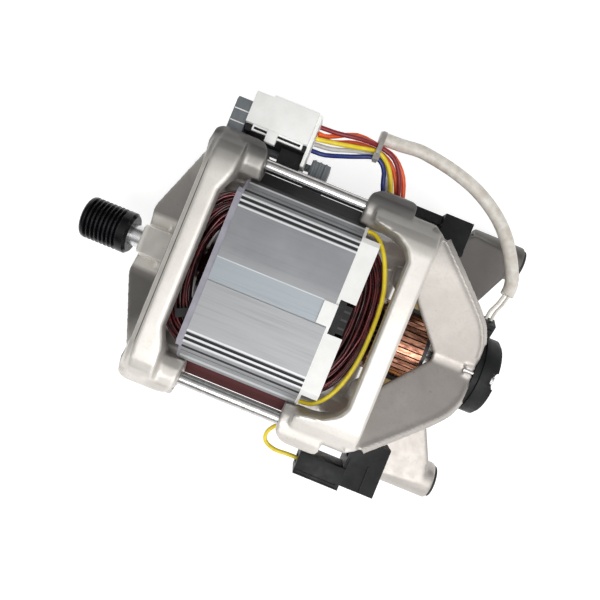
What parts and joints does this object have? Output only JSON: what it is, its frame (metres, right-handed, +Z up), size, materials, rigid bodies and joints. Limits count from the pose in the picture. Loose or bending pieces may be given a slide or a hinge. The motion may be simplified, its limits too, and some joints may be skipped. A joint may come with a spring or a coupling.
{
  "type": "washing machine motor",
  "caption": "Universal motor with two cast brackets, laminated stator, ribbed belt pulley, brush gear, speed sensor, wiring connector and mounting lugs.",
  "frame": {"origin": "shaft axis, in the middle of the pulley's belt grooves", "axes": "+X along the shaft from the pulley to the speed sensor, +Y towards the supply connector's side, +Z up, away from the mounting lugs"},
  "size_m": [0.2359, 0.1833, 0.1],
  "materials": {
    "cast_aluminium": "as cast",
    "plated_steel": "zinc plated",
    "turned_steel": "ground",
    "bearing_steel": "polished",
    "spring_steel": "drawn wire",
    "black_steel": "blackened, satin",
    "laminated_steel": "stacked sheets, dull",
    "magnet": "sintered",
    "winding": "varnished wire",
    "copper": "turned copper",
    "brass_sheet": "stamped",
    "dark_resin": "moulded",
    "black_plastic": "moulded",
    "white_plastic": "moulded",
    "lilac_plastic": "moulded",
    "grey_plastic": "moulded",
    "carbon": "pressed carbon",
    "rubber": "moulded",
    "maroon_wire": "wire sheath",
    "orange_wire": "wire sheath",
    "yellow_wire": "wire sheath",
    "white_wire": "wire sheath",
    "blue_wire": "wire sheath",
    "clear_sleeve": "milky clear tube"
  },
  "bodies": {
    "housing": {"front_bracket": "cast_aluminium", "rear_bracket": "cast_aluminium", "through_bolts": "plated_steel", "bolt_washers": "plated_steel", "stator_core": "laminated_steel", "front_insulator": "lilac_plastic", "rear_insulator": "white_plastic", "field_coil_near": "winding", "field_coil_far": "winding", "thermal_protector": "black_plastic", "coil_tie": "black_plastic", "front_bearing_outer": "bearing_steel", "front_bearing_balls": "bearing_steel", "rear_bearing_outer": "bearing_steel", "rear_bearing_balls": "bearing_steel", "wave_washer": "plated_steel", "tacho_coil": "dark_resin", "tacho_cover": "black_plastic", "tacho_screw": "plated_steel", "tacho_connector": "black_plastic", "upper_brush_holder": "black_plastic", "lower_brush_holder": "black_plastic", "upper_brush_box": "brass_sheet", "lower_brush_box": "brass_sheet", "upper_brush_terminal": "brass_sheet", "lower_brush_terminal": "brass_sheet", "brush_holder_screws": "plated_steel", "lug_bushes": "rubber", "lug_sleeves": "plated_steel", "terminal_holder": "grey_plastic", "terminal_header": "black_plastic", "terminal_plug": "white_plastic", "wire_maroon": "maroon_wire", "wire_orange_high": "orange_wire", "wire_orange_low": "orange_wire", "wire_yellow": "yellow_wire", "wire_white": "white_wire", "wire_blue": "blue_wire", "tacho_sleeve": "clear_sleeve", "sensor_leads": "clear_sleeve", "field_lead": "yellow_wire", "brush_lead": "yellow_wire", "cable_tie": "white_plastic"},
    "rotor": {"shaft": "turned_steel", "pulley": "black_steel", "armature_core": "laminated_steel", "armature_winding_front": "winding", "armature_winding_rear": "winding", "commutator_bars": "copper", "commutator_hub": "dark_resin", "tacho_magnet": "magnet", "front_bearing_inner": "bearing_steel", "rear_bearing_inner": "bearing_steel"},
    "upper_brush": {"upper_carbon_brush": "carbon", "upper_brush_spring": "spring_steel"},
    "lower_brush": {"lower_carbon_brush": "carbon", "lower_brush_spring": "spring_steel"}
  },
  "joints": [
    {"name": "rotor_spin", "type": "hinge", "parent": "housing", "child": "rotor", "pos_m": [0.098, 0, 0], "axis": [1, 0, 0], "continuous": true},
    {"name": "upper_brush_slide", "type": "slide", "parent": "housing", "child": "upper_brush", "axis": [0, 1, 0], "range_m": [0, 0.003], "stiffness_N_per_m": 300, "springref_m": -0.01},
    {"name": "lower_brush_slide", "type": "slide", "parent": "housing", "child": "lower_brush", "axis": [0, -1, 0], "range_m": [0, 0.003], "stiffness_N_per_m": 300, "springref_m": -0.01}
  ]
}
